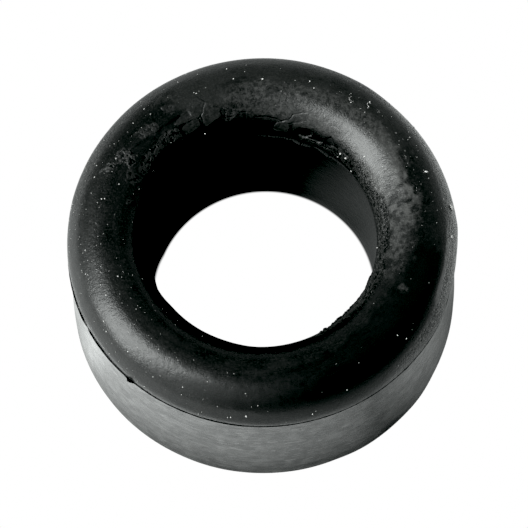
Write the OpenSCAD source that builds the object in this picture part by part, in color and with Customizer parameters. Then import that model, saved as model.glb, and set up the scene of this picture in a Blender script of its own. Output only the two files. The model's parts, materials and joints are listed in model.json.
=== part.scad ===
// Rubber damper ring: a straight moulded band with a full-round crown, open through the middle.
// Origin on the axis at the foot's face, +Z up through the crown, millimetres.

/* [Ring] */
// Diameter of the straight bore, which slides over a boss or a spacer sleeve
bore_d = 20; // [12:0.5:40]
// Thickness of the rubber between the bore and the band's outer face
wall_t = 7; // [4:0.5:12]
// Height of the straight band, from the foot to the parting line
band_h = 12.5; // [6:0.5:30]
// Rounding of the outer corner at the foot
foot_edge_r = 0.35; // [0.1:0.05:1.5]
// Rounding of the bore's corner at the foot
bore_edge_r = 0.3; // [0.1:0.05:1.5]

/* [Parting line] */
// Radial step at the parting line, where the crown's mould half is the larger one
mould_step = 0.04; // [0.02:0.02:0.2]
// Thickness of the flash left at the parting line
flash_t = 0.1; // [0.06:0.02:0.4]
// Mean width of the flash outside the crown after trimming
flash_w = 0.08; // [0.04:0.02:0.5]
// Distance by which the trimming cut ran off centre
trim_shift = 0.04; // [0:0.02:0.3]
// Direction in which the off-centre cut left the most flash, from +X
trim_dir = 200; // [0:2:358]

/* [Trimming marks] */
// Direction of the rag that the trimming left standing, from +X
rag_dir = 226.5; // [0:0.5:359.5]
// Length of the rag past the trimmed edge
rag_l = 0.2; // [0.1:0.05:0.8]
// Width of the rag at its root
rag_w = 1.1; // [0.4:0.1:3]
// Direction of the nick in the trimmed edge, from +X
nick_dir = 205.5; // [0:0.5:359.5]
// Depth of the nick
nick_depth = 0.06; // [0.02:0.02:0.3]
// Width of the nick at its mouth
nick_w = 0.7; // [0.2:0.1:2]

/* [Hidden] */
$fn = 180;

bore_r = bore_d / 2;
outer_r = bore_r + wall_t;
// The crown is as wide as the wall, so its section is a half circle
crown_r = wall_t / 2;
crown_mid_r = bore_r + crown_r + mould_step;
crown_outer_r = crown_mid_r + crown_r;
flash_r = crown_outer_r + flash_w;
flash_z = band_h - flash_t / 2;
// The rag leans along the edge by this share of its width
rag_lean = -0.15;
// Depth to which the rag's root reaches into the flash
rag_root = flash_w / 2;
// Length by which a cutting shape passes the surface that it cuts
cut_over = 1;

// Radius of the trimmed edge in one direction
function trimmed_r(dir) = flash_r + trim_shift * cos(dir - trim_dir);

// The corner of material at the origin that a rounding of radius r takes away
module corner_relief(r) {
    difference() {
        translate([-cut_over, -cut_over])
            square([r + cut_over, r + cut_over]);
        translate([r, r])
            circle(r);
    }
}

module band_section() {
    difference() {
        translate([bore_r, 0])
            square([wall_t, band_h]);
        translate([bore_r, 0])
            corner_relief(bore_edge_r);
        translate([outer_r, 0])
            mirror([1, 0])
                corner_relief(foot_edge_r);
    }
}

module crown_section() {
    intersection() {
        translate([crown_mid_r, band_h])
            circle(crown_r);
        translate([crown_mid_r - crown_r, band_h])
            square([2 * crown_r, crown_r]);
    }
}

// A leaning point left standing on the trimmed edge
module rag_outline() {
    rotate(rag_dir)
        translate([trimmed_r(rag_dir), 0])
            polygon([
                [-rag_root, -rag_w / 2],
                [rag_l, rag_lean * rag_w],
                [-rag_root, rag_w / 2],
            ]);
}

module nick_outline() {
    rotate(nick_dir)
        translate([trimmed_r(nick_dir) - nick_depth, 0])
            polygon([
                [0, 0],
                [nick_depth + cut_over, -nick_w / 2],
                [nick_depth + cut_over, nick_w / 2],
            ]);
}

// The thin fin squeezed out between the mould halves, trimmed a little off centre
module flash() {
    translate([0, 0, flash_z])
        linear_extrude(flash_t)
            difference() {
                union() {
                    translate([trim_shift * cos(trim_dir), trim_shift * sin(trim_dir)])
                        circle(flash_r);
                    rag_outline();
                }
                nick_outline();
                circle(crown_mid_r);
            }
}

module damper_ring() {
    color("#1d1e1e")
        union() {
            rotate_extrude()
                union() {
                    band_section();
                    crown_section();
                }
            flash();
        }
}

damper_ring();
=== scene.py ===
# A moulded black rubber damper ring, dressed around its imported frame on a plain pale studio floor.

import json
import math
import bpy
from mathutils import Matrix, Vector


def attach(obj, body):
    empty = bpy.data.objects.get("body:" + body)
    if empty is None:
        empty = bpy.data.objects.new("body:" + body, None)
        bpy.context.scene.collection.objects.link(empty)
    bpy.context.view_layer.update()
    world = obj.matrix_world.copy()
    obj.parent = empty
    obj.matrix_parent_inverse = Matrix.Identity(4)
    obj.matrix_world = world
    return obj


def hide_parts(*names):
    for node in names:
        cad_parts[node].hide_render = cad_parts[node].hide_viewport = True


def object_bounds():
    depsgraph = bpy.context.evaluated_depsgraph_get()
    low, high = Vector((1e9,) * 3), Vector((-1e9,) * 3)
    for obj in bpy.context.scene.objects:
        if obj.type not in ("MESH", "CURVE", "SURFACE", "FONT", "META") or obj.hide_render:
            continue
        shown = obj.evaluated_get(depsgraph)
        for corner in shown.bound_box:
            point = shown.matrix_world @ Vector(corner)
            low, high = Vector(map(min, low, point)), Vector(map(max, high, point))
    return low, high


bl_info = {
    "name": "Rubber Damper Ring",
    "version": (1, 0, 0),
    "blender": (4, 5, 0),
    "location": "3D View > Sidebar > Damper",
    "description": "Builds a moulded rubber damper ring with its parting flash, scars and dust",
    "category": "Add Mesh",
}

import bmesh
import bpy
import numpy as np
from mathutils import Euler, Matrix, Vector

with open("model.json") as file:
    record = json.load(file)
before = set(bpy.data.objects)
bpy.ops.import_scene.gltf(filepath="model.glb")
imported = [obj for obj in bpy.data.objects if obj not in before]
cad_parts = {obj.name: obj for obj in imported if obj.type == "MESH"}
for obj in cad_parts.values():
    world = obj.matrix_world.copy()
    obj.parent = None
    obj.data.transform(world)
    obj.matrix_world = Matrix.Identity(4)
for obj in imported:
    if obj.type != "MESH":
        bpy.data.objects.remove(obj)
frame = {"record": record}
CAD_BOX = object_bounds()

NODE = "damper_ring"
BODY = "root"
MM = 0.001
MOUNTS = {mount["name"]: mount for mount in frame["record"]["mounts"]}

# The ring's section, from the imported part
BORE_R = MOUNTS["bore"]["dims"]["r_mm"] * MM
WALL = 2 * (MOUNTS["foot"]["pos_m"][0] - BORE_R)
BAND_R = BORE_R + WALL
CROWN_R = WALL / 2
TOP_Z = CAD_BOX[1].z
PARTING_Z = TOP_Z - CROWN_R
MOULD_STEP = 0.04 * MM
# The crown's mould half sat this far to the right of the band's
MISMATCH = 0.075 * MM
CROWN_MID_R = BORE_R + CROWN_R + MOULD_STEP
CROWN_OUTER_R = CROWN_MID_R + CROWN_R
# Distance up the section, over the crown and down to the top of the outer band
BAND_START = PARTING_Z + math.pi * CROWN_R + 2 * MOULD_STEP


# ---------------------------------------------------------------- noise and measuring


def lumps(points, size, seed):
    """Smooth noise from -1 to 1 with lumps of one size, the same on every run."""
    place = points / size
    cell = np.floor(place).astype(np.int64)
    part = place - cell
    ease = part * part * (3 - 2 * part)
    total = np.zeros(len(points))
    for corner in np.ndindex(2, 2, 2):
        key = ((cell + corner) * (73856093, 19349663, 83492791)).sum(1) + seed * 7919
        key = (key ^ (key >> 13)) * 1274126177
        key = (key ^ (key >> 16)) * 668265263
        key = (key ^ (key >> 15)) & 0xFFFF
        weight = np.where(np.array(corner) == 1, ease, 1 - ease).prod(1)
        total += weight * (key / 32767.5 - 1)
    return total


def crumbs(points, size, seed, layers=3):
    """Noise with finer and finer lumps laid over the first ones."""
    total = sum(lumps(points, size / 2**k, seed + k) / 2**k for k in range(layers))
    return total / (2 - 2 ** (1 - layers))


def ramp(value, low, high):
    """0 below low, 1 above high, and a smooth rise between them."""
    share = np.clip((value - low) / (high - low), 0, 1)
    return share * share * (3 - 2 * share)


def angle_past(angle, start):
    """Degrees from start to angle, counted one way round the ring."""
    return (angle - start) % 360


def mismatch(lean):
    """How far the crown's outer side is shifted to the right at each lean."""
    return MISMATCH * ramp(lean, 0, 60) * (lean < 100)


def toward(angle, way, low, high):
    """1 where an angle round the ring faces a way and 0 far from it; low and high are cosines."""
    return ramp(np.cos(np.radians(angle - way)), low, high)


def read_row(row, places):
    """A value at each place, from a row of places with their values."""
    return np.interp(places, *np.transpose(row))


def crown_point(angle, lean, lift=0.0):
    """The point at an angle round the ring and a lean off the crown's top, both in degrees."""
    turn, tilt = np.radians(angle), np.radians(lean)
    radius = CROWN_MID_R + (CROWN_R + lift) * np.sin(tilt)
    height = PARTING_Z + (CROWN_R + lift) * np.cos(tilt)
    return np.stack([radius * np.cos(turn) + mismatch(lean), radius * np.sin(turn), height], -1)


def held_in_box(points):
    """The points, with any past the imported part's box brought back to its sides."""
    return np.clip(points, CAD_BOX[0], CAD_BOX[1])


def path_distance(points, path):
    """Distance from each point to a line of points on the crown, in metres."""
    knots = crown_point(*np.array(path, float).T)
    best = np.full(len(points), np.inf)
    for start, end in zip(knots[:-1], knots[1:]):
        along = end - start
        share = np.clip((points - start) @ along / (along @ along), 0, 1)
        gap = np.linalg.norm(points - start - share[:, None] * along, axis=1)
        best = np.minimum(best, gap)
    return best


# ---------------------------------------------------------------- shader expressions


class Value:
    """A shader socket used in plain arithmetic, where each sum adds one Math node."""

    def __init__(self, tree, output):
        self.tree = tree
        self.output = output

    def node(self, kind, settings=None, inputs=None, output=0):
        """Adds a node of a kind, makes its settings, fills its sockets and gives one output."""
        made = self.tree.nodes.new(kind)
        for name, value in (settings or {}).items():
            setattr(made, name, value)
        for name, value in (inputs or {}).items():
            if isinstance(value, Value):
                self.tree.links.new(value.output, made.inputs[name])
            else:
                made.inputs[name].default_value = value
        return Value(self.tree, made.outputs[output])

    def math(self, operation, *others, clamp=False):
        """One Math node, with this value as its first input."""
        values = dict(enumerate((self,) + others))
        return self.node("ShaderNodeMath", {"operation": operation, "use_clamp": clamp}, values)

    def __add__(self, other):
        return self.math("ADD", other)

    __radd__ = __add__

    def __sub__(self, other):
        return self.math("SUBTRACT", other)

    def __rsub__(self, other):
        return self.node("ShaderNodeMath", {"operation": "SUBTRACT"}, {0: other, 1: self})

    def __mul__(self, other):
        return self.math("MULTIPLY", other)

    __rmul__ = __mul__

    def clamped(self):
        """This value held between 0 and 1."""
        return self.math("ADD", 0.0, clamp=True)

    def swing(self, size):
        """A noise value turned into one that swings by half a size to both sides of 0."""
        return (self - 0.5) * size

    def scaled(self, colour):
        """A colour made brighter or darker by this value, which may pass 1."""
        inputs = {0: colour, "Scale": self}
        return self.node("ShaderNodeVectorMath", {"operation": "SCALE"}, inputs)

    def above(self, low, high):
        """0 below low, 1 above high, and a smooth rise between them."""
        settings = {"interpolation_type": "SMOOTHSTEP"}
        return self.node(
            "ShaderNodeMapRange", settings, {"Value": self, "From Min": low, "From Max": high}
        )

    def noise(self, size, detail=2.0, rough=0.5, stretch=(1, 1, 1)):
        """Noise from 0 to 1 with lumps of a size in metres; self is the place it is read at."""
        place = self.node(
            "ShaderNodeVectorMath", {"operation": "MULTIPLY"}, {0: self, 1: stretch}
        )
        inputs = {"Vector": place, "Scale": 1 / size, "Detail": detail, "Roughness": rough}
        return self.node("ShaderNodeTexNoise", {"noise_dimensions": "3D"}, inputs, "Fac")

    def blend(self, first, second):
        """A colour from first to second, with self as the share of second."""
        settings = {"data_type": "RGBA"}
        return self.node("ShaderNodeMix", settings, {0: self, 6: first, 7: second}, 2)


def new_material(name):
    """An empty material with its principled shader, and a Value to build its nodes with."""
    material = bpy.data.materials.new(name)
    material.use_nodes = True
    tree = material.node_tree
    shader = tree.nodes["Principled BSDF"]
    return material, shader, Value(tree, None)


def feed(net, shader, **sockets):
    """Puts values or links in a shader's sockets; an underscore stands for a space."""
    for name, value in sockets.items():
        socket = shader.inputs[name.replace("_", " ")]
        if isinstance(value, Value):
            net.tree.links.new(value.output, socket)
        else:
            socket.default_value = value


def grey(level, tint=(1, 1, 1)):
    """A grey of one level, or a tint at that level, with full alpha."""
    return tuple(level * part for part in tint) + (1,)


# ---------------------------------------------------------------- materials

# Share of its real length that a step round the ring counts for in the drawn out noise
DRAWN_SHARE = 0.16


def surface_place(net):
    """The place on a piece, the distance along its section, and the place drawn out round the ring."""
    place = net.node("ShaderNodeTexCoord", output="Object")
    across, along = (net.node("ShaderNodeSeparateXYZ", inputs={0: place}, output=axis) for axis in "XY")
    girth = net.node("ShaderNodeAttribute", {"attribute_name": "girth"}, output="Fac")
    drawn = {0: across * DRAWN_SHARE, 1: along * DRAWN_SHARE, 2: girth}
    return place, girth, net.node("ShaderNodeCombineXYZ", inputs=drawn)


def rubber_material(finish):
    """Moulded black rubber with grain, bloom, a dust film, scars and a streaked band, with painted shade in
    the scars and between the crumbs and a painted highlight on the flakes' lips.
    """
    material, shader, net = new_material("moulded_rubber")
    place, girth, drawn = surface_place(net)

    def painted(name):
        """A mark that the mesh carries at each of its points."""
        return net.node("ShaderNodeAttribute", {"attribute_name": name}, output="Fac")

    dust, haze, scar, grit, crumb = (painted(name) for name in ("dust", "haze", "scar", "grit", "crumb"))
    coarse = grit * grit
    on_band = girth.above(BAND_START, BAND_START + 0.08 * MM)
    past_bore = girth.above(PARTING_Z - 1 * MM, PARTING_Z)

    # Patterns of the moulded skin, from the finest to the broadest
    grain = place.noise(0.11 * MM, 1.0)
    motes = place.noise(0.17 * MM, 0.0).above(0.56, 0.70)
    pores = place.noise(0.32 * MM, 2.0)
    mottle = place.noise(1.3 * MM, 3.0, 0.6)
    patches = place.noise(5.0 * MM, 2.0)
    # Patterns drawn out round the ring
    brushed = drawn.noise(0.13 * MM, 3.0, 0.6)
    scratches = drawn.noise(0.2 * MM, 0.0).above(0.66, 0.8)
    wiping = drawn.noise(0.6 * MM, 3.0, 0.6)
    # Flakes of torn skin, with pale lips round them that are a painted highlight on their edges
    flaking = place.noise(0.34 * MM, 2.0, 0.6)
    flakes = flaking.above(0.44, 0.6)
    lip_highlight = (1 - (flaking - 0.5).math("ABSOLUTE") * 28).clamped()

    # Dust: an uneven film that breaks up at its edges, a bloom, and motes in the coarse grain
    uneven = mottle.swing(1.3) + wiping.swing(1.1) + grain.swing(1.2) + pores.swing(0.6)
    film = dust * (uneven + motes * 0.4 + 1)
    fringe = (dust * (1 - dust) * 4).math("MAXIMUM", 0.0)
    film = (film + fringe * (pores.swing(2.2) + grain.swing(1.6))).math("MAXIMUM", 0.0)
    clouds = (mottle.swing(1.5) + pores.swing(0.6) + wiping.swing(1.4)) * haze.above(0.0, 0.3)
    # The bloom carries the painted highlight on the flakes' lips
    bloom = (haze + clouds * 0.45 + grain.swing(1) * haze).clamped() + crumb * (flakes * 0.5 + lip_highlight * 2.5)
    # Streaks on the band: wiped, mottled and scratched
    streaks = wiping.above(0.35, 0.75) + mottle.above(0.42, 0.66) * 0.8 + scratches * 3
    streaks = (streaks * on_band * 0.5).clamped()
    cover = film * finish.dust_cover + bloom * finish.haze_cover
    cover = cover + motes * coarse * finish.mote_cover + streaks * finish.band_cover

    rubber = mottle.blend(grey(finish.black), grey(finish.black * 1.35, (1.0, 1.01, 1.0)))
    colour = cover.clamped().blend(rubber, tuple(finish.dust_colour) + (1,))
    # Painted shade: near black in the scars and in the gaps between the crumbs
    crevice_shade = (scar * 0.9).math("MAXIMUM", crumb * (1 - flakes - lip_highlight) * 0.85)
    colour = crevice_shade.clamped().blend(colour, grey(0.003))

    rough = finish.roughness + patches.swing(0.06) + pores.swing(0.16) + scar * 0.3 + crumb * 0.2
    rough = rough + (brushed.swing(0.22) + wiping.swing(0.12)) * past_bore

    relief = grain.swing(1) * (coarse * 0.2 + 0.002) + pores.swing(1) * (coarse * 0.22 + 0.005)
    relief = relief + mottle * 0.03 + (brushed * 0.004 + wiping * 0.006) * past_bore
    relief = (relief + flakes * crumb * 0.035 + wiping * on_band * 0.03) * MM
    bump = net.node("ShaderNodeBump", inputs={"Strength": 1.0, "Distance": 1.0, "Height": relief})
    feed(net, shader, Base_Color=colour, Roughness=rough.clamped(), Normal=bump)
    feed(net, shader, Coat_Weight=streaks * finish.band_sheen, Coat_Roughness=0.3, IOR=1.5)
    return material


def flash_material(name, level, roughness, gloss):
    """Torn or trimmed rubber, duller and blacker than the moulded faces; on the trimmed fin the extra black
    is partly a painted shade.
    """
    material, shader, net = new_material(name)
    place = net.node("ShaderNodeTexCoord", output="Object")
    tear = place.noise(0.18 * MM, 2.0)
    colour = tear.blend(grey(level * 0.5), grey(level * 1.5))
    bump = net.node(
        "ShaderNodeBump", inputs={"Strength": 1.0, "Distance": 1.0, "Height": tear * (0.02 * MM)}
    )
    feed(net, shader, Base_Color=colour, Roughness=roughness + tear * 0.1, Normal=bump)
    feed(net, shader, Specular_IOR_Level=gloss)
    return material


def dust_material():
    """Pale dry dust and lint."""
    material, shader, net = new_material("pale_dust")
    place = net.node("ShaderNodeTexCoord", output="Object")
    clump = place.noise(0.3 * MM, 2.0)
    colour = clump.above(0.3, 0.7).blend(grey(0.6, (1, 0.99, 0.96)), grey(0.95, (1, 1, 0.98)))
    feed(net, shader, Base_Color=colour, Roughness=0.9 - clump * 0.1)
    return material


# ---------------------------------------------------------------- meshes


def mesh_piece(name, points, faces, material, marks=None):
    """A smooth shaded mesh object that rides on the ring's body."""
    mesh = bpy.data.meshes.new(name)
    mesh.from_pydata(points, [], faces)
    for mark, values in (marks or {}).items():
        layer = mesh.attributes.new(mark, "FLOAT", "POINT")
        layer.data.foreach_set("value", values.astype(np.float32))
    mesh.shade_smooth()
    mesh.materials.append(material)
    mesh.validate()
    piece = bpy.data.objects.new(name, mesh)
    bpy.context.scene.collection.objects.link(piece)
    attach(piece, BODY)
    return piece


def loop_faces(columns, rows):
    """Quads of a closed sweep: columns go round the ring, rows go along its section."""
    column, row = np.meshgrid(np.arange(columns), np.arange(rows))
    column, row = column.ravel(), row.ravel()
    after, above = (column + 1) % columns, (row + 1) % rows
    return np.stack(
        [column * rows + row, column * rows + above, after * rows + above, after * rows + row], 1
    )


# Leans that stand for the rows off the crown: those of the bore's wall, and all others
BORE_LEAN, BAND_LEAN = -999, 999


class RingSection:
    """Rows of the ring's section, from the bore's foot over the crown to the outer foot."""

    def __init__(self, sizes):
        self.rows = []
        bore_edge, foot_edge = sizes.bore_edge, sizes.foot_edge
        for turn in np.linspace(270, 180, 4)[:-1]:
            self.corner(BORE_R + bore_edge, bore_edge, bore_edge, turn)
        for z in np.linspace(bore_edge, PARTING_Z, sizes.bore_rows, endpoint=False):
            self.add(BORE_R + MOULD_STEP * ramp(z, 0, PARTING_Z), z, -1, 0, BORE_LEAN)
        for lean in np.linspace(-90, 90, sizes.crown_rows):
            out, up = math.sin(math.radians(lean)), math.cos(math.radians(lean))
            self.add(CROWN_MID_R + CROWN_R * out, PARTING_Z + CROWN_R * up, out, up, lean)
        self.add(BAND_R, PARTING_Z, 1, 0, BAND_LEAN)
        for z in np.linspace(PARTING_Z - 0.03 * MM, foot_edge, sizes.band_rows):
            self.add(BAND_R, z, 1, 0, BAND_LEAN)
        for turn in np.linspace(0, -90, 6)[1:]:
            self.corner(BAND_R - foot_edge, foot_edge, foot_edge, turn)
        self.add(CROWN_MID_R, 0, 0, -1, BAND_LEAN)
        self.radius, self.height, self.out, self.up, self.lean = np.array(self.rows).T
        steps = np.hypot(np.diff(self.radius), np.diff(self.height))
        self.girth = np.concatenate([[0], np.cumsum(steps)])

    def add(self, radius, height, out, up, lean):
        """Adds one row: its place, the way its surface faces, and its lean."""
        self.rows.append((radius, height, out, up, lean))

    def corner(self, centre_r, centre_z, size, turn):
        """Adds one row of a rounded corner, at a turn about the rounding's centre."""
        out, up = math.cos(math.radians(turn)), math.sin(math.radians(turn))
        self.add(centre_r + size * out, centre_z + size * up, out, up, BAND_LEAN)


# Marks on the crown are placed by the angle round the ring and the lean off the crown's top,
# both in degrees. Heights and widths are in millimetres.

# Lines: path, width, height (below 0 is a crack), and how black the line is painted, a painted shade in the
# crack
LINES = (
    (((112.8, 1), (110.5, -14), (112, -19), (113.2, -26), (115.2, -31.6)), 0.05, -0.008, 1.0),
    (((115.2, -31.6), (116.5, -30.8), (119.8, -30), (122.8, -28.4), (125, -26)), 0.055, -0.03, 1.0),
    (((115.2, -31.6), (115.5, -39.9), (114.8, -48)), 0.055, -0.03, 1.0),
    (((119, -20), (123, -18.5), (130, -16.8), (138, -12), (145, -6)), 0.22, -0.06, 0.6),
    (((124.8, -45.6), (126, -50.5), (125.8, -56.3), (124.2, -53)), 0.045, 0.035, 0.0),
    (((128, -25), (131, -29), (130, -36), (129, -40)), 0.045, 0.035, 0.0),
    (((131, -23), (134.5, -30), (133, -36)), 0.045, 0.035, 0.0),
    (((136, -23), (137.5, -28), (137, -36)), 0.045, 0.035, 0.0),
    (((141, -25), (142.5, -31), (146, -39)), 0.045, 0.035, 0.0),
    (((129.2, -43.2), (133, -41.5), (136.2, -38.2), (141, -39.5), (147.8, -42.3)), 0.045, 0.03, 0.0),
    (((107.8, -25), (103.2, -31), (99.8, -39), (95, -43)), 0.07, -0.05, 0.9),
    (((106, -35), (104.2, -45.6), (100.2, -45.6)), 0.06, -0.04, 0.8),
    (((91, -51.4), (86, -51.4), (81.5, -52.2), (78.2, -55.5), (75.2, -50.5), (74, -42.3), (70.8, -38.2),
      (68, -33)), 0.05, -0.03, 0.8),
    (((82.5, -70), (77, -78), (72, -86), (66.8, -80), (59, -79.3), (52, -85), (47, -88)), 0.05, -0.05, 1.0),
    (((72, -83), (64, -75.5), (59, -76), (51, -82)), 0.05, 0.04, 0.0),
)

# Patches: upper and lower border, softness and raggedness of the border in degrees, lift of the
# patch, height of the crumbs on it, the dust haze that lies on it, and how black the painted shade in a hole
# is
PATCHES = (
    dict(upper=((110.7, -4), (113.5, -4), (117, -9), (120, -14), (123, -18), (126, -22)),
         lower=((110.7, -16), (113.5, -27), (115.3, -31), (119.8, -29.5), (122, -28.5), (126, -26)),
         soft=0.8, ragged=2.0, lift=0.015, haze=0.85, crumb=0.012),
    dict(upper=((105.6, -28), (108, -19), (110.5, -14), (112, -20), (113.2, -27), (115, -32)),
         lower=((105.6, -38), (107.6, -42), (110, -45), (113.2, -49), (114.8, -46)),
         soft=0.8, ragged=2.0, lift=0.03, haze=0.85, crumb=0.012),
    dict(upper=((115.6, -33), (119.8, -30.5), (122.8, -29.2), (124.5, -34)),
         lower=((115.6, -41), (117, -43.2), (121, -46), (124.5, -44)),
         soft=0.8, ragged=2.0, lift=0.02, haze=0.85, crumb=0.012),
    dict(upper=((121.5, 6), (124, 11), (126.5, 11)),
         lower=((121.5, -8), (124, -9.5), (126.5, 3)),
         soft=0.8, ragged=2.5, lift=0.015, crumb=0.02, haze=0.35),
    dict(upper=((117.5, 8), (121, 22), (127, 34), (128.5, 34)),
         lower=((117.5, -2), (121, 12), (127, 22), (128.5, 22)), ragged=4, crumb=0.018, haze=0.15),
    dict(upper=((131, -6), (134, 5), (140, 9)),
         lower=((131, -12), (134, -14), (140, -7)), ragged=4, crumb=0.03, haze=0.3),
    dict(upper=((144, 6), (148.5, 16), (152, 6)),
         lower=((144, -8), (149, -19), (152, -14)), ragged=4, crumb=0.10, haze=0.08),
    dict(upper=((152, 12), (155.5, 20), (158, 24)),
         lower=((152, 6), (155.5, 8), (158, 12)), ragged=4, crumb=0.09, haze=0.06),
    dict(upper=((151, -14), (154, -13), (158, -20)),
         lower=((151, -50), (154, -40), (158, -38)), ragged=4, crumb=0.035, haze=0.2),
    dict(upper=((125.5, -27), (129.5, -22.6), (134.2, -21), (138.8, -22.6), (142.2, -24.2), (152, -27)),
         lower=((125.5, -42), (129.2, -43.2), (136.2, -38.2), (141, -39.5), (147.8, -42.3), (152, -44)),
         soft=0.8, ragged=2.5, lift=-0.02, crumb=0.04, haze=0.3),
    dict(upper=((126, -44), (129, -43), (134.5, -38), (140, -39), (148, -42.5), (156, -44)),
         lower=((126, -70), (140, -70), (156, -70)), soft=1, ragged=1.5, lift=-0.08),
    dict(upper=((163, -26), (165, -28), (168, -32)),
         lower=((163, -34), (165, -42), (168, -44)), ragged=3, crumb=0.05, haze=0.2),
    dict(upper=((97, -34), (101, -30), (106, -27)),
         lower=((97, -42), (101, -50), (106, -55)), ragged=4, lift=-0.02, crumb=0.035, haze=0.1),
    dict(upper=((73.6, -56), (76, -55), (80.2, -60), (83, -69)),
         lower=((73.6, -75), (77.8, -77), (81, -76), (83, -72)), soft=0.8, ragged=1.5, lift=0.03, haze=0.55,
         crumb=0.01),
    dict(upper=((62.2, -53), (67.2, -49), (73.2, -57)),
         lower=((62.2, -55), (69.2, -60), (73.2, -74)), soft=0.8, ragged=2, lift=0.02, haze=0.5, crumb=0.012),
    dict(upper=((62, -58), (67.5, -61), (70, -70)),
         lower=((62, -66), (66.2, -77), (70, -76)), soft=0.8, ragged=2.5, lift=-0.12, hole_shade=1),
    dict(upper=((55.5, -64), (58.8, -62), (62, -66)),
         lower=((55.5, -70), (59.2, -75), (62, -70)), soft=0.8, ragged=2.5, lift=-0.08, hole_shade=0.9),
    dict(upper=((50.5, -59), (53.5, -54), (56.5, -60)),
         lower=((50.5, -64), (54, -79), (56.5, -66)), soft=0.8, ragged=2.5, lift=-0.06, hole_shade=0.6),
    dict(upper=((38, -64), (46, -62), (58, -72), (74, -80)),
         lower=((38, -82), (46, -84), (58, -86), (74, -88)), ragged=3, crumb=0.03, haze=0.3),
    dict(upper=((97, 24), (106, 30), (124, 22)), lower=((97, -20), (106, -26), (124, -6)), soft=5,
         ragged=4, haze=0.95),
    dict(upper=((62, 70), (124, 70)), lower=((62, 8), (90, 12), (124, 4)), soft=6, ragged=4, haze=0.38),
    dict(upper=((20, 26), (60, 26), (102, 22)), lower=((20, -8), (60, -6), (102, -10)), soft=7, ragged=5,
         haze=0.8),
    dict(upper=((86, 12), (94, 12), (101, 12)), lower=((86, 4), (94, 1), (101, 5)), soft=3, haze=-0.35),
    dict(upper=((44, 30), (54, 26), (66, 20)), lower=((44, 18), (54, 12), (66, 8)), soft=4, haze=-0.08),
    dict(upper=((120, 60), (215, 60)), lower=((120, 14), (215, 20)), soft=9, ragged=4, haze=0.05),
    dict(upper=((154, 30), (164, 34), (200, 20)), lower=((154, -10), (164, -34), (200, -20)), soft=6,
         ragged=12, haze=0.06),
    dict(upper=((186, 14), (238, 16)), lower=((186, -10), (238, -10)), soft=8, ragged=6, haze=0.13),
    dict(upper=((180, 10), (290, 4)), lower=((180, -30), (290, -30)), soft=12, ragged=6, haze=0.14),
    dict(upper=((288, -52), (300, -50), (326, -52)), lower=((288, -66), (300, -76), (326, -84)), soft=3,
         ragged=5, crumb=0.03, haze=0.5),
    dict(upper=((294, -56), (318, -48), (340, -52), (0, -54), (24, -58), (40, -66)),
         lower=((294, -70), (318, -80), (0, -82), (24, -80), (40, -76)), soft=3, ragged=5,
         crumb=0.03, haze=0.4),
    dict(upper=((340, 58), (20, 70), (62, 70)), lower=((340, 24), (20, 16), (62, 24)), soft=7, ragged=4,
         haze=0.4),
)

# The pale smear of dust on the inner side at the right
SMEAR_TOP = (
    (332, -24), (344, -14), (357, -9), (4, 2), (9, 5), (14, -3), (20, 1), (45, 6), (62, 4), (85, 0),
    (100, -2), (106, -8),
)
SMEAR_LOW = (
    (332, -40), (344, -43), (357, -44), (5, -48), (12, -52), (28, -59), (36, -58), (50, -54),
    (62, -52), (68, -44), (76, -52), (84, -50), (95, -42), (106, -28),
)

# Depth of the smear at angles round the ring, counted from -180 to 180
SMEAR_DEPTH = (
    (-30, 0.85), (0, 0.85), (9, 1.6), (16, 2.1), (30, 1.15), (45, 0.56), (60, 0.41), (110, 0.42),
)
# A small blob of the same dust, in front of the smear
BLOB_TOP = ((330, 4), (332, 6), (334, 4))
BLOB_LOW = ((330, -7), (332, -9), (334, -7))

# Where the dark side was wiped clean
WIPED_TOP = ((240, 34), (255, 50), (268, 60), (285, 62), (312, 60), (336, 56), (346, 46), (354, 30))
WIPED_LOW = ((240, 14), (255, 10), (268, 2), (285, -6), (312, -16), (336, -20), (346, -8), (354, 8))


class Skin:
    """The ring's mesh points, with their angle round the ring and lean off the crown's top."""

    def __init__(self, points, angle, lean, layers):
        self.points, self.angle, self.lean, self.layers = points, angle, lean, layers
        self.on_crown = (np.abs(lean) < 100).astype(float)
        self.broad = crumbs(points, 3.5 * MM, 31)
        self.wobble = crumbs(points, 0.9 * MM, 11, 2)
        self.fine = crumbs(points, 0.36 * MM, 21, layers)
        shake = [lumps(points, 0.5 * MM, seed) for seed in (51, 52, 53)]
        self.moved = points + 0.09 * MM * np.stack(shake, 1)

    def line(self, path, width):
        """1 on a line over the crown and 0 beside it, with the line a little shaken."""
        gap = path_distance(self.moved, path) / MM
        return (1 - ramp(gap, width * 0.4, width * 1.6)) * self.on_crown

    def patch(self, upper, lower, soft=1.5, ragged=2.0):
        """1 between two borders and 0 outside them; each is a row of angles with their leans."""
        start = upper[0][0]
        past = angle_past(self.angle, start)
        shake = ragged * (0.7 * self.wobble + self.fine)

        def border(knots):
            """The lean of one border at each point's angle."""
            return read_row([(angle_past(angle, start), lean) for angle, lean in knots], past)

        inside = ramp(border(upper) + shake - self.lean, -soft, soft)
        inside *= ramp(self.lean - border(lower) + shake, -soft, soft)
        length = angle_past(upper[-1][0], start)
        near_end = np.minimum(past, length - past) * 0.7
        return inside * ramp(near_end + 0.4 * shake, 0, soft) * self.on_crown


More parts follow.
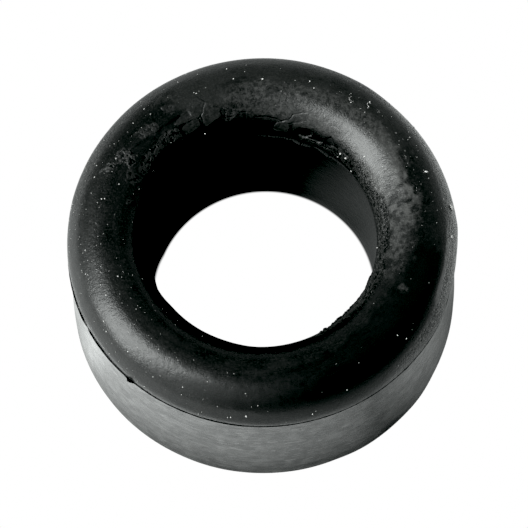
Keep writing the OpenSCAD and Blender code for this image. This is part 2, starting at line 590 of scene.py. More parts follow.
# Where the moulding strays from its true shape: part of the ring, push outwards in millimetres,
# angle it faces, and the cosines at which it starts and is whole
STRAYS = (
    ("inner side", 0.11, 225, 0.75, 0.95),
    ("inner rim", -0.14, 198, 0.94, 1),
    ("bore middle", 0.42, 186, 0.85, 0.99),
    ("bore foot", -0.13, 160, 0.96, 0.99),
    ("crown edge", 0.06, 102, 0.75, 0.97),
    ("crown edge", -0.04, 183, 0.95, 0.99),
    ("crown edge", -0.2, 347, 0.965, 0.995),
    ("shoulder", -0.15, 25, 0.85, 0.97),
    ("foot", 0.13, 240, 0.3, 0.8),
    ("foot", 0.12, 310, 0.93, 0.99),
    ("band top", -0.17, 358, 0.9, 0.99),
    ("band top", -0.12, 177, 0.93, 0.99),
)


def stray_push(skin):
    """How far the moulding strays outwards from its true shape at each point, in millimetres."""
    lean, height = skin.lean, skin.points[:, 2] / MM
    inner, on_band = ramp(-lean, 40, 70), 1 * (lean == BAND_LEAN)
    band_top = on_band * ramp(height, 2, 9)
    parts = {
        "inner side": inner,
        "inner rim": inner * ramp(height, 9, 12),
        "bore middle": inner * ramp(height, 1, 6) * (1 - ramp(height, 7, 12)),
        "bore foot": inner * (1 - ramp(height, 1, 6)),
        "crown edge": ramp(lean, 40, 60) * skin.on_crown,
        "shoulder": ramp(lean, 5, 80) * skin.on_crown + band_top,
        "foot": on_band * (1 - ramp(height, 1, 8)),
        "band top": band_top,
    }
    push = 0.022 * crumbs(skin.points, 4.5 * MM, 41, 2) + 0.005 * skin.wobble * skin.on_crown
    for part, size, way, start, whole in STRAYS:
        push += size * parts[part] * toward(skin.angle, way, start, whole)
    return push


def torn_marks(skin):
    """Push in millimetres, haze, scars with their painted shade, and crumbs of all the patches and lines."""
    push, haze, scar, crumb = (np.zeros(len(skin.angle)) for _ in range(4))
    rough = ramp(crumbs(skin.moved, 0.42 * MM, 71, skin.layers + 1), -0.05, 0.3) + 0.5 * skin.fine
    for shape in PATCHES:
        borders = {key: shape[key] for key in ("upper", "lower", "soft", "ragged") if key in shape}
        inside = skin.patch(**borders)
        push += inside * (shape.get("lift", 0) + 0.6 * shape.get("crumb", 0) * rough)
        crumb = np.maximum(crumb, inside * min(1, shape.get("crumb", 0) * 16))
        haze += inside * shape.get("haze", 0)
        scar = np.maximum(scar, inside * shape.get("hole_shade", 0))
    for path, width, height, black in LINES:
        along = skin.line(path, width)
        push += along * height
        scar = np.maximum(scar, along * black)
    return push, haze, scar, crumb


def dust_smear(skin, scar):
    """The pale smear of dust at the right, with holes in it towards the front, and one blob apart."""
    smear = 0.55 * skin.patch(SMEAR_TOP, SMEAR_LOW, 5, 4) + 0.45 * skin.patch(SMEAR_TOP, SMEAR_LOW, 13, 12)
    smear *= (1 - scar) * (1 + 0.35 * skin.broad)
    side = (skin.angle + 180) % 360 - 180
    islands = ramp(0.8 * skin.wobble + 0.8 * skin.fine, -0.5, 0.4)
    smear *= read_row(SMEAR_DEPTH, side) * (islands + (1 - islands) * ramp(side, 8, 34))
    return smear + skin.patch(BLOB_TOP, BLOB_LOW, 1.5, 2)


def coarse_grit(skin):
    """Share of coarse grain in the rubber: everywhere a little, and more in four places."""
    angle, lean = skin.angle, skin.lean
    grit = 0.22 + 0.8 * toward(angle, 12, 0.35, 0.8) * ramp(lean, 38, 56) * skin.on_crown
    grit += 0.45 * toward(angle, 355, 0.6, 0.9) * ramp(-lean, 35, 60)
    grit += 0.3 * toward(angle, 148, 0.85, 0.98) * ramp(lean, 30, 50)
    grit += 0.06 * toward(angle, 178, 0.8, 0.96) * ramp(lean, -35, -5) * (1 - ramp(lean, 20, 45))
    return grit


def ring_marks(skin):
    """How far each point of the ring is pushed out, and the dust, haze, scars with their painted shade, and
    grit on it.
    """
    angle, lean = skin.angle, skin.lean
    push, haze, scar, crumb = torn_marks(skin)
    push += stray_push(skin)
    haze += 0.13 + 0.10 * ramp(lean, 35, 85)
    wiped = skin.patch(WIPED_TOP, WIPED_LOW, 4, 5)
    deep = (1 - ramp(lean + 4 * skin.broad, -56, -44)) * ramp(angle, 82, 95) * (1 - ramp(angle, 235, 260))
    haze *= (1 - wiped) * (1 - deep)
    grit = coarse_grit(skin) * (1 - 0.8 * wiped)
    marks = {
        "dust": np.clip(dust_smear(skin, scar), 0, 2),
        "haze": np.clip(haze, 0, 1) * skin.on_crown,
        "scar": np.clip(scar, 0, 1),
        "grit": np.clip(grit, 0, 1) * (lean != BORE_LEAN),
        "crumb": crumb,
    }
    return push * MM, marks


# Stretches of the crown that have a finer mesh of their own: from and to angle, from and to lean
KNIT_STRETCH = (94, 166, -66, 32)
TORN_STRETCH = (38, 97, -88, -32)
# The finer mesh laps over the ring's own mesh by this angle at its borders
LAP = 1.6


def in_stretch(stretch, angle, lean):
    """Whether each point lies in a stretch of the crown, away from its borders."""
    start, end, low, high = stretch
    across = (angle > start + LAP) & (angle < end - LAP)
    return across & (lean > low + 2 * LAP) & (lean < high - 2 * LAP)


def crown_skin(angle, lean, layers):
    """Points of the crown's true skin, the way it faces there, how far it is pushed, and its marks."""
    points = crown_point(angle, lean)
    normal = (crown_point(angle, lean, MM) - points) / MM
    return points, normal, *ring_marks(Skin(points, angle, lean, layers))


def build_ring(sizes, material):
    """The moulded ring: band, crown and bore in one mesh, open only under the finer skins."""
    section = RingSection(sizes)
    columns = np.linspace(0, 360, sizes.columns, endpoint=False)
    count, rows = len(columns), len(section.radius)
    angle, turn = np.repeat(columns, rows), np.radians(np.repeat(columns, rows))
    lean, radius, height, out, up, girth = (
        np.tile(row, count)
        for row in (section.lean, section.radius, section.height, section.out, section.up, section.girth)
    )
    points = np.stack([radius * np.cos(turn) + mismatch(lean), radius * np.sin(turn), height], 1)
    normal = np.stack([out * np.cos(turn), out * np.sin(turn), up], 1)
    push, marks = ring_marks(Skin(points, angle, lean, 1))
    points = held_in_box(points + normal * (push * ramp(height, 0, 0.2 * MM))[:, None])
    marks["girth"] = girth
    covered = in_stretch(KNIT_STRETCH, angle, lean) | in_stretch(TORN_STRETCH, angle, lean)
    faces = loop_faces(count, rows)
    faces = faces[~covered[faces].all(1)]
    ring = mesh_piece(NODE + "_rubber", points, faces, material, marks)
    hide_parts(NODE)


def build_fine_skin(name, stretch, step, material):
    """The skin of one stretch in a finer mesh, whose borders dip a hair under the ring's mesh."""
    start, end, low, high = stretch
    columns = np.arange(start, end, math.degrees(step / CROWN_MID_R))
    leans = np.arange(low, high, math.degrees(step / CROWN_R))
    angle, lean = (field.ravel() for field in np.meshgrid(columns, leans, indexing="ij"))
    points, normal, push, marks = crown_skin(angle, lean, 3)
    edge = np.minimum(np.minimum(angle - start, end - angle), np.minimum(lean - low, high - lean) / 2)
    push -= 0.008 * MM * (1 - ramp(edge, LAP, 2 * LAP))
    points = held_in_box(points + normal * push[:, None])
    marks["girth"] = np.radians(lean + 90) * CROWN_R + PARTING_Z
    rows = len(leans)
    column, row = np.meshgrid(np.arange(len(columns) - 1), np.arange(rows - 1))
    corner = (column * rows + row).ravel()
    faces = np.stack([corner, corner + 1, corner + rows + 1, corner + rows], 1)
    mesh_piece(name, points, faces, material, marks)


def flash_loop(name, root, edge, thick, ripple, material):
    """A thin fin at the parting line, from its root's radius to an edge's radius at each angle."""
    turn = np.linspace(0, 2 * np.pi, len(edge), endpoint=False)
    rim = np.stack([np.cos(turn), np.sin(turn), 0 * turn], 1) * BAND_R
    droop = ripple * crumbs(rim, 0.8 * MM, 63)
    bevel = 0.2 * thick * np.sign(edge.mean() - root)
    top, low = PARTING_Z + 0 * turn, PARTING_Z - thick + 0 * turn
    section = [
        (root + 0 * turn, top),
        (edge - bevel, top + droop),
        (edge, top - 0.3 * thick + droop),
        (edge, low + 0.3 * thick + droop),
        (edge - bevel, low + droop),
        (root + 0 * turn, low),
    ]
    if bevel < 0:
        section.reverse()
    rows = [np.stack([reach * np.cos(turn), reach * np.sin(turn), level], 1) for reach, level in section]
    points = held_in_box(np.stack(rows, 1).reshape(-1, 3))
    mesh_piece(name, points, loop_faces(len(edge), len(section)), material)


def arc_length(angle, middle, radius):
    """Distance along the ring from a middle angle, in millimetres, below 0 before it."""
    return np.radians((angle - middle + 180) % 360 - 180) * radius / MM


# Width of the fin round the ring, as a share of its mean width; below 0 the crown covers its edge
FIN_SHARES = (
    (0, -2.1), (12, -2.4), (38, -2.4), (58, -0.2), (100, 0.2), (158, 0.1), (168, -0.6), (184, -0.6),
    (190, 0.5), (196, 1.4), (203, 2.0), (205.8, 0.9), (208, 1.8), (224, 1.6), (229, 1.1), (236, 0.8),
    (280, 0.6), (330, 0.4), (341, -3.2), (352, -3.4), (360, -2.1),
)
# Where the rag and the nick are, and their shapes: millimetres along the edge, and share of the size
RAG_ANGLE, NICK_ANGLE = 226.5, 205.5
RAG_SHAPE = ((-0.8, 0), (-0.35, 0.3), (-0.2, 1), (0.05, 0.7), (0.4, 0))
NICK_SHAPE = ((-0.35, 0), (-0.1, 0.6), (0.05, 1), (0.3, 0))
NICK_DEPTH = 0.05


def build_fin(sizes, material):
    """The flash outside the parting line: trimmed close, with a nick and a rag left standing."""
    angle = np.linspace(0, 360, 1440, endpoint=False)
    turn = np.radians(angle)
    rim = np.stack([np.cos(turn), np.sin(turn), 0 * turn], 1) * BAND_R
    width = sizes.fin_width / MM * read_row(FIN_SHARES, angle)
    width += 0.016 * crumbs(rim, 1.5 * MM, 61) + 0.010 * lumps(rim, 0.3 * MM, 62)
    width += sizes.rag_length / MM * read_row(RAG_SHAPE, arc_length(angle, RAG_ANGLE, CROWN_OUTER_R))
    width -= NICK_DEPTH * read_row(NICK_SHAPE, arc_length(angle, NICK_ANGLE, CROWN_OUTER_R))
    edge = CROWN_OUTER_R + MISMATCH * np.cos(turn) + width * MM
    flash_loop("parting_fin", CROWN_OUTER_R - 0.4 * MM, edge, sizes.fin_thick, 0.004 * MM, material)


# Width of the torn flash at angles round the bore, in millimetres; below 0 there is none in sight
TORN_WIDTHS = (
    (0, 0.04), (30, 0.05), (45, 0.10), (52, 0.30), (58, 0.12), (66, 0.34), (76, 0.22), (88, 0.12),
    (94, 0.05), (98, -0.2), (285, -0.2), (294, 0.12), (303, 0.34), (311, 0.26), (318, 0.22),
    (324, 0.17), (332, 0.10), (338, 0.14), (342, 0.03), (360, 0.04),
)


def build_torn_flash(material):
    """The flash inside the bore, torn off raggedly along the right side and the back."""
    angle = np.linspace(0, 360, 2160, endpoint=False)
    turn = np.radians(angle)
    rim = np.stack([np.cos(turn), np.sin(turn), 0 * turn], 1) * BORE_R
    width = read_row(TORN_WIDTHS, angle)
    teeth = 0.75 + 0.5 * crumbs(rim, 0.5 * MM, 81) + 0.35 * np.abs(lumps(rim, 0.22 * MM, 82))
    width = np.where(width > 0, width * teeth, width)
    edge = BORE_R - width * MM
    flash_loop("torn_flash", BORE_R + 0.35 * MM, edge, 0.09 * MM, 0.05 * MM, material)


# The plain dust specks: angle, lean and size in millimetres
SPECKS = (
    (130.3, 28, 0.13), (130.2, 13, 0.12), (136.6, 22, 0.10), (151, 9.5, 0.14), (155.3, 34, 0.12),
    (159.5, 29, 0.15), (160, -10, 0.16), (166.9, 4, 0.12), (167.2, 8, 0.13), (177, -5, 0.11),
    (185.3, 30, 0.14), (193, 37, 0.13), (198.8, 20.5, 0.12), (203, 19, 0.15), (198.3, -7, 0.14),
    (194.7, 14, 0.10), (205.4, 40, 0.14), (209.6, 42, 0.13), (212.4, 49, 0.13), (222, 43, 0.14),
    (232.9, 50, 0.11), (230, 11.5, 0.13), (231.3, 77, 0.10), (243, 54, 0.12), (242.7, 42, 0.13),
    (249.8, 22, 0.11), (257.6, 71, 0.12), (258.5, 70, 0.10), (263, 64, 0.19), (266.4, 45, 0.12),
    (262.6, 28.6, 0.11), (258, 3, 0.10), (282.3, 71, 0.15), (294, 50, 0.11), (318.3, 42, 0.12),
    (316.9, 29, 0.11), (355.9, 53, 0.28), (17.4, 26, 0.32), (31, 31, 0.13), (49, 25, 0.15),
    (48, 17, 0.15), (53.8, 6.4, 0.18), (70.6, 11.5, 0.16), (68.3, 3, 0.11), (34.9, -41, 0.20),
    (42.2, -67, 0.26), (45.8, -68, 0.18), (46.6, -78, 0.14), (36.9, -82, 0.14), (353.2, -86, 0.12),
    (87.4, 5, 0.15), (97.8, 9, 0.14), (112.2, 3.2, 0.18), (112.9, 5.5, 0.12), (115.6, -57, 0.17),
    (6.3, 56.5, 0.22), (5.9, 59.5, 0.26), (5.4, 62, 0.2), (99.4, 31, 0.11), (109, 38, 0.10),
    (26, -28, 0.10), (60, -30, 0.09), (80, -12, 0.09),
)

# Points along each lint thread, and round it
THREAD_STEPS, THREAD_SIDES = 16, 5
# Lint threads: knots as angle, lean and height over the skin in millimetres
THREADS = (
    ((54.4, 8, 0.02), (55.4, 11, 0.06), (55.0, 15, 0.02)),
    ((48.6, 17, 0.02), (49.3, 21, 0.07), (48.4, 24, 0.02)),
)


def on_skin(angle, lean, lift):
    """Points over the crown's skin as it is shaped, by a lift in metres."""
    points, normal, push, _ = crown_skin(angle, lean, 1)
    return points + normal * (push + lift)[:, None]


def speck_points(ball, centre, size, chance):
    """The points of one uneven speck, sunk a little into the skin."""
    spin = Euler(chance.uniform(0, 2 * np.pi, 3)).to_matrix()
    shape = ball * (1 + chance.uniform(-0.25, 0.25, (len(ball), 1))) * chance.uniform(0.6, 1.1, 3)
    return centre + shape @ np.array(spin) * (0.5 * size * MM)


def build_specks(sizes, material):
    """Dust specks in one mesh: the plain ones placed one by one and the finest ones scattered."""
    chance = np.random.default_rng(7)
    form = bmesh.new()
    bmesh.ops.create_icosphere(form, subdivisions=1, radius=1)
    ball = np.array([vertex.co for vertex in form.verts])
    faces = np.array([[vertex.index for vertex in face.verts] for face in form.faces])
    form.free()
    spots = list(SPECKS)
    while len(spots) < len(SPECKS) + sizes.specks:
        angle, lean = chance.uniform(0, 360), chance.uniform(-50, 85)
        dusty = 0.12 + 0.9 * max(0, math.cos(math.radians(angle - 190))) ** 2
        dusty += 0.8 * max(0, math.cos(math.radians(angle - 30))) ** 8
        if chance.random() < dusty * (0.25 if lean < 0 else 1):
            spots.append((angle, lean, chance.uniform(0.03, 0.075)))
    angles, leans, widths = np.array(spots, float).T
    centres = on_skin(angles, leans, 0.3 * widths * MM)
    points = [speck_points(ball, centre, width, chance) for centre, width in zip(centres, widths)]
    points = held_in_box(np.concatenate(points))
    first = np.repeat(np.arange(len(spots)) * len(ball), len(faces))
    mesh_piece("dust_specks", points, np.tile(faces, (len(spots), 1)) + first[:, None], material)


def build_threads(sizes, material):
    """Short threads of lint that lie on the skin."""
    points, faces = [], []
    for knots in THREADS:
        knots = np.array(knots, float)
        share = np.linspace(0, len(knots) - 1, THREAD_STEPS)
        angle, lean, lift = (np.interp(share, np.arange(len(knots)), row) for row in knots.T)
        path = on_skin(angle, lean, lift * MM)
        ahead = np.gradient(path, axis=0)
        ahead /= np.linalg.norm(ahead, axis=1)[:, None]
        side = np.cross(ahead, (0, 0, 1))
        side /= np.linalg.norm(side, axis=1)[:, None]
        above = np.cross(side, ahead)
        first = sum(len(part) for part in points)
        for turn in np.arange(THREAD_SIDES) * 2 * np.pi / THREAD_SIDES:
            points.append(path + sizes.thread_width / 2 * (np.cos(turn) * side + np.sin(turn) * above))
        for row in range(THREAD_SIDES):
            here, there = (first + k % THREAD_SIDES * THREAD_STEPS for k in (row, row + 1))
            faces += [(here + k, there + k, there + k + 1, here + k + 1) for k in range(THREAD_STEPS - 1)]
    mesh_piece("lint_threads", held_in_box(np.concatenate(points)), faces, material)


# ---------------------------------------------------------------- studio


# The camera: its rise over the floor and its roll in degrees, its distance from the ring's foot and
# its shifts to the right and up in metres, and its sensor and lens in millimetres
CAMERA_RISE, CAMERA_ROLL = 68.25, -2.39
CAMERA_DISTANCE, CAMERA_RIGHT, CAMERA_UP = 0.32991, 0.0000825, 0.0026223
CAMERA_SENSOR, CAMERA_LENS = 36, 250.02


def camera_matrix():
    """The camera's place and turn: high in front, looking at the ring a little rolled."""
    rise, roll = math.radians(CAMERA_RISE), math.radians(CAMERA_ROLL)
    back = Vector((0, -math.cos(rise), math.sin(rise)))
    right = Vector((1, 0, 0))
    up = back.cross(right)
    place = back * CAMERA_DISTANCE + right * CAMERA_RIGHT + up * CAMERA_UP
    across = right * math.cos(roll) + up * math.sin(roll)
    above = up * math.cos(roll) - right * math.sin(roll)
    return Matrix.Translation(place) @ Matrix((across, above, back)).transposed().to_4x4()


def build_camera():
    """The camera, at the angle that the ring is shown from."""
    data = bpy.data.cameras.new("studio_camera")
    data.sensor_width = CAMERA_SENSOR
    data.lens = CAMERA_LENS
    data.clip_start = 0.01
    data.clip_end = 20
    camera = bpy.data.objects.new("studio_camera", data)
    camera.matrix_world = camera_matrix()
    bpy.context.scene.collection.objects.link(camera)
    bpy.context.scene.camera = camera


def sky_way(azimuth, elevation):
    """The direction from the ring to a place in the studio, from angles in degrees."""
    turn, rise = math.radians(azimuth), math.radians(elevation)
    return Vector((math.cos(rise) * math.cos(turn), math.cos(rise) * math.sin(turn), math.sin(rise)))


def build_softbox(name, azimuth, elevation, distance, width, height, radiance, cast):
    """An area light that faces the ring from one side."""
    data = bpy.data.lights.new(name, "AREA")
    data.shape = "RECTANGLE"
    data.size, data.size_y = width, height
    data.energy = radiance * math.pi * width * height
    data.color = cast
    light = bpy.data.objects.new(name, data)
    way = sky_way(azimuth, elevation)
    light.location = way * distance + Vector((0, 0, PARTING_Z))
    light.rotation_mode = "QUATERNION"
    light.rotation_quaternion = way.to_track_quat("Z", "Y")
    light.visible_camera = False
    bpy.context.scene.collection.objects.link(light)


# Half the side of the sheet that the ring stands on, in metres
FLOOR_HALF = 1.5
# Pools of light on the sheet: centre, inner and outer edge in millimetres, and level
POOLS = (
    (9.5, 3, 1, 13, 0.2),
    (26, 3, 2, 9, 0.9),
    (25, 12, 2, 9, 0.75),
    (20.5, 20, 2, 10, 0.9),
    (20, -12, 3, 10, 0.3),
    (7, -24, 2, 9, 0.16),
    (9.5, -18.5, 1, 5, 0.12),
    (-19, -6.5, 1, 4, 0.55),
    (-130, -40, 40, 125, 0.8),
    (-46, -12, 6, 42, 0.55),
    (4.2, 7.2, 0.5, 4.2, 0.1),
    (-45, -90, 25, 85, 0.5),
    (-80, 60, 20, 80, 0.4),
    (85, 15, 30, 80, 1.1),
)


def build_floor(studio):
    """A white sheet lit from below all round the ring, which fades towards the ring's foot."""
    mesh = bpy.data.meshes.new("floor")
    corners = [(x * FLOOR_HALF, y * FLOOR_HALF, 0) for x, y in ((-1, -1), (1, -1), (1, 1), (-1, 1))]
    mesh.from_pydata(corners, [], [(0, 1, 2, 3)])
    material, shader, net = new_material("pale_floor")
    place = net.node("ShaderNodeTexCoord", output="Object")

    def pool(x, y, inner, outer):
        """A round pool of light on the sheet, with its centre and its two edges in millimetres."""
        inputs = {0: place, 1: (x * MM, y * MM, 0)}
        gap = net.node("ShaderNodeVectorMath", {"operation": "DISTANCE"}, inputs, "Value")
        return 1 - gap.above(inner * MM, outer * MM)

    # A crescent close by the foot at the left, then the pools
    lit = (pool(-5, -5, 14, 22) - pool(0.5, -1, 15.7, 20.4)).math("MAXIMUM", 0.0) * 0.92
    for x, y, inner, outer, level in POOLS:
        lit = lit + pool(x, y, inner, outer) * level
    # Painted shade: the sheet is darker close by the foot and black under the bore
    shade = (pool(0, 0, 16.8, 20) * 0.4 + pool(0, 0, 9.6, 10.4)).clamped()
    sheet = shade.blend(grey(0.5), grey(0))
    glow = (lit * studio.floor_glow).scaled(tuple(studio.cast))
    feed(net, shader, Base_Color=sheet, Roughness=1.0, Specular_IOR_Level=0.0)
    feed(net, shader, Emission_Color=glow, Emission_Strength=1.0)
    # Straight in view the sheet is plain white, dark where the ring stands on it, and dark in a thin painted
    # contact shadow round the inside of the bore's foot
    inside = pool(0.08, 0.04, 9.73, 9.97).math("MAXIMUM", pool(-3, 0.5, 6.75, 7.05))
    unshadowed_floor = (inside + 1 - pool(0, 0, 16.6, 16.9)).clamped()
    white = net.node("ShaderNodeEmission", inputs={"Color": unshadowed_floor, "Strength": 1.0})
    direct = net.node("ShaderNodeLightPath", output="Is Camera Ray")
    lit_sheet = Value(net.tree, shader.outputs[0])
    mixed = net.node("ShaderNodeMixShader", inputs={0: direct, 1: lit_sheet, 2: white})
    net.tree.links.new(mixed.output, net.tree.nodes["Material Output"].inputs["Surface"])
    mesh.materials.append(material)
    floor = bpy.data.objects.new("floor", mesh)
    bpy.context.scene.collection.objects.link(floor)


def build_world(studio):
    """Dim air, brighter near the horizon and in soft glows at a few places round the ring."""
    world = bpy.data.worlds.new("studio_air")
    bpy.context.scene.world = world
    world.use_nodes = True
    net = Value(world.node_tree, None)
    way = net.node("ShaderNodeTexCoord", output="Generated")
    rise = net.node("ShaderNodeSeparateXYZ", inputs={0: way}, output="Z")

    def facing(x, y, z):
        """1 in one direction, 0 square to it and below 0 behind."""
        inputs = {0: way, 1: (x, y, z)}
        return net.node("ShaderNodeVectorMath", {"operation": "DOT_PRODUCT"}, inputs, "Value")

    horizon = 1 - rise.math("ABSOLUTE").above(0.0, 0.45)
    back_rim = facing(0.82, 0.57, 0).above(0.2, 1.0) * studio.back_rim
    left_rim = facing(-0.95, -0.3, 0).above(0.3, 1.0) * studio.left_rim
    glow = facing(*sky_way(204, 36)).above(0.55, 1.0) * studio.glow
    fill = facing(*sky_way(25, 42)).above(0.7, 1.0) * studio.fill
    level = studio.air + horizon * (studio.horizon + back_rim) + horizon * left_rim + glow + fill
    direct = net.node("ShaderNodeLightPath", output="Is Camera Ray")
    level = level * (1 - direct) + direct
    tint = direct.blend(tuple(studio.cast) + (1,), grey(1))
    feed(net, net.tree.nodes["Background"], Color=level.scaled(tint), Strength=1.0)


# Black point of the reds, greens and blues, each as a share of the setting
TONE_CAST = (1.03, 0.985, 1)


def set_tone(studio):
    """Shows the darkest greys as black, the reds first."""
    view = bpy.context.scene.view_settings
    view.view_transform = "Standard"
    view.look = "None"
    view.use_curve_mapping = True
    view.curve_mapping.black_level = [studio.black_point * part for part in TONE_CAST]
    view.curve_mapping.update()


# ---------------------------------------------------------------- add-on


class DamperSizes(bpy.types.PropertyGroup):
    """Sizes of the ring's edges and fin, and the fineness of its mesh."""

    foot_edge: bpy.props.FloatProperty(
        name="Foot edge", description="Rounding of the outer corner at the foot",
        default=0.35 * MM, min=0.05 * MM, max=2 * MM, subtype="DISTANCE", unit="LENGTH",
    )
    bore_edge: bpy.props.FloatProperty(
        name="Bore edge", description="Rounding of the bore's corner at the foot",
        default=0.06 * MM, min=0.05 * MM, max=2 * MM, subtype="DISTANCE", unit="LENGTH",
    )
    fin_width: bpy.props.FloatProperty(
        name="Fin width", description="Mean width of the flash outside the crown",
        default=0.062 * MM, min=0.02 * MM, max=0.5 * MM, subtype="DISTANCE", unit="LENGTH",
    )
    fin_thick: bpy.props.FloatProperty(
        name="Fin thickness", description="Thickness of the flash at the parting line",
        default=0.1 * MM, min=0.05 * MM, max=0.4 * MM, subtype="DISTANCE", unit="LENGTH",
    )
    rag_length: bpy.props.FloatProperty(
        name="Rag length", description="How far the rag stands past the trimmed edge",
        default=0.23 * MM, min=0, max=0.3 * MM, subtype="DISTANCE", unit="LENGTH",
    )
    thread_width: bpy.props.FloatProperty(
        name="Thread width", description="Thickness of the lint threads",
        default=0.028 * MM, min=0.01 * MM, max=0.2 * MM, subtype="DISTANCE", unit="LENGTH",
    )
    specks: bpy.props.IntProperty(
        name="Specks", description="Number of fine dust specks scattered on the crown",
        default=420, min=0, max=4000,
    )
    columns: bpy.props.IntProperty(
        name="Columns", description="Mesh columns round the ring", default=670, min=64, max=720
    )
    fine_step: bpy.props.FloatProperty(
        name="Fine step", description="Spacing of the finer mesh over the knit line and the torn edge",
        default=0.046 * MM, min=0.03 * MM, max=0.3 * MM, subtype="DISTANCE", unit="LENGTH",
    )
    crown_rows: bpy.props.IntProperty(
        name="Crown rows", description="Mesh rows over the crown", default=116, min=16, max=140
    )
    band_rows: bpy.props.IntProperty(
        name="Band rows", description="Mesh rows down the outer band", default=14, min=4, max=60
    )
    bore_rows: bpy.props.IntProperty(
        name="Bore rows", description="Mesh rows up the bore", default=10, min=4, max=40
    )


class DamperFinish(bpy.types.PropertyGroup):
    """Colours and gloss of the rubber and of the dust on it."""

    black: bpy.props.FloatProperty(
        name="Black", description="Base level of the rubber", default=0.010, min=0.002, max=0.1
    )
    roughness: bpy.props.FloatProperty(
        name="Roughness", description="Roughness of clean rubber", default=0.28, min=0, max=1
    )
    dust_colour: bpy.props.FloatVectorProperty(
        name="Dust colour", description="Colour of the dust film", default=(0.2, 0.2, 0.195),
        min=0, max=1, subtype="COLOR",
    )
    dust_cover: bpy.props.FloatProperty(
        name="Dust cover", description="Share of the dust colour where dust lies thickest",
        default=0.19, min=0, max=1, subtype="FACTOR",
    )
    haze_cover: bpy.props.FloatProperty(
        name="Haze cover", description="Share of the dust colour in the haze near the rim",
        default=0.1, min=0, max=1, subtype="FACTOR",
    )
    mote_cover: bpy.props.FloatProperty(
        name="Mote cover", description="Share of the dust colour in the finest motes",
        default=0.7, min=0, max=1, subtype="FACTOR",
    )
    band_cover: bpy.props.FloatProperty(
        name="Band cover", description="Share of the dust colour on the band",
        default=0.2, min=0, max=1, subtype="FACTOR",
    )
    band_sheen: bpy.props.FloatProperty(
        name="Band sheen", description="Gloss of the scratches and rubbed streaks on the band",
        default=0.45, min=0, max=1, subtype="FACTOR",
    )


class DamperStudio(bpy.types.PropertyGroup):
    """Light and tone of the studio."""

    key: bpy.props.FloatProperty(
        name="Key", description="Radiance of the large softbox", default=7.6, min=0, max=50
    )
    air: bpy.props.FloatProperty(
        name="Air", description="Level of light from all round", default=0.2, min=0, max=2
    )
    horizon: bpy.props.FloatProperty(
        name="Horizon", description="Extra light near the horizon", default=0.15, min=0, max=2
    )
    floor_glow: bpy.props.FloatProperty(
        name="Floor glow", description="Light from the sheet all round the ring", default=1.0, min=0, max=4
    )
    back_rim: bpy.props.FloatProperty(
        name="Back rim", description="Extra light low behind and to the right", default=0.35, min=0, max=2
    )
    left_rim: bpy.props.FloatProperty(
        name="Left rim", description="Extra light low at the left", default=0.22, min=0, max=2
    )
    glow: bpy.props.FloatProperty(
        name="Glow", description="Soft light round the large softbox", default=1.18, min=0, max=10
    )
    fill: bpy.props.FloatProperty(
        name="Fill", description="Weak soft light from behind and the right", default=0.15, min=0, max=2
    )
    cast: bpy.props.FloatVectorProperty(
        name="Cast", description="Colour of all the light on the ring", default=(0.965, 1.0, 0.988),
        min=0, max=1, subtype="COLOR",
    )
    black_point: bpy.props.FloatProperty(
        name="Black point", description="Level shown as black", default=0.024, min=0, max=0.2
    )


class DAMPER_OT_ring(bpy.types.Operator):
    """Builds the moulded rubber ring"""

    bl_idname = "damper.ring"
    bl_label = "Ring"

    def execute(self, context):
        sizes = context.scene.damper_sizes
        material = rubber_material(context.scene.damper_finish)
        build_ring(sizes, material)
        build_fine_skin("knit_line_skin", KNIT_STRETCH, sizes.fine_step, material)
        build_fine_skin("torn_edge_skin", TORN_STRETCH, sizes.fine_step, material)
        return {"FINISHED"}


class DAMPER_OT_flash(bpy.types.Operator):
    """Builds the trimmed fin outside the parting line and the torn flash inside the bore"""

    bl_idname = "damper.flash"
    bl_label = "Flash"

    def execute(self, context):
        sizes = context.scene.damper_sizes
        # The trimmed fin is real flash, made near black as a painted shade for the dark crease under the
        # crown
        build_fin(sizes, flash_material("trimmed_fin", level=0.001, roughness=0.3, gloss=0.03))
        build_torn_flash(flash_material("torn_rubber", level=0.012, roughness=0.6, gloss=0.25))
        return {"FINISHED"}


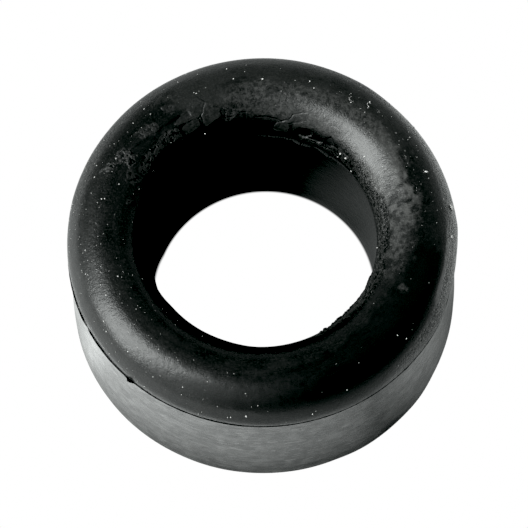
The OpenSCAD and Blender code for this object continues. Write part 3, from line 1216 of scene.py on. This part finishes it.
class DAMPER_OT_dust(bpy.types.Operator):
    """Builds the dust specks and the lint threads"""

    bl_idname = "damper.dust"
    bl_label = "Dust and lint"

    def execute(self, context):
        sizes = context.scene.damper_sizes
        material = dust_material()
        build_specks(sizes, material)
        build_threads(sizes, material)
        return {"FINISHED"}


class DAMPER_OT_studio(bpy.types.Operator):
    """Sets the floor, lights, camera and tone"""

    bl_idname = "damper.studio"
    bl_label = "Studio"

    def execute(self, context):
        studio = context.scene.damper_studio
        build_floor(studio)
        build_softbox(
            "key_softbox", azimuth=195, elevation=40, distance=0.6, width=0.29, height=0.62,
            radiance=studio.key, cast=studio.cast,
        )
        build_world(studio)
        build_camera()
        set_tone(studio)
        return {"FINISHED"}


class DAMPER_PT_panel(bpy.types.Panel):
    """Lists the damper's pieces and settings"""

    bl_idname = "DAMPER_PT_panel"
    bl_label = "Rubber damper ring"
    bl_space_type = "VIEW_3D"
    bl_region_type = "UI"
    bl_category = "Damper"

    def draw(self, context):
        layout = self.layout
        for operator in OPERATORS:
            layout.operator(operator.bl_idname)
        for name in GROUPS:
            group = getattr(context.scene, name)
            box = layout.box()
            for key in group.bl_rna.properties.keys():
                if key not in ("rna_type", "name"):
                    box.prop(group, key)


GROUPS = {"damper_sizes": DamperSizes, "damper_finish": DamperFinish, "damper_studio": DamperStudio}
OPERATORS = (DAMPER_OT_ring, DAMPER_OT_flash, DAMPER_OT_dust, DAMPER_OT_studio)
CLASSES = tuple(GROUPS.values()) + OPERATORS + (DAMPER_PT_panel,)


def register():
    """Adds the classes, and the settings to the scene."""
    for item in CLASSES:
        bpy.utils.register_class(item)
    for name, group in GROUPS.items():
        setattr(bpy.types.Scene, name, bpy.props.PointerProperty(type=group))


def unregister():
    """Takes the settings and the classes away again."""
    for name in GROUPS:
        delattr(bpy.types.Scene, name)
    for item in reversed(CLASSES):
        bpy.utils.unregister_class(item)


def main():
    """Builds the ring and its studio."""
    register()
    bpy.ops.damper.ring()
    bpy.ops.damper.flash()
    bpy.ops.damper.dust()
    bpy.ops.damper.studio()


if __name__ == "__main__":
    main()
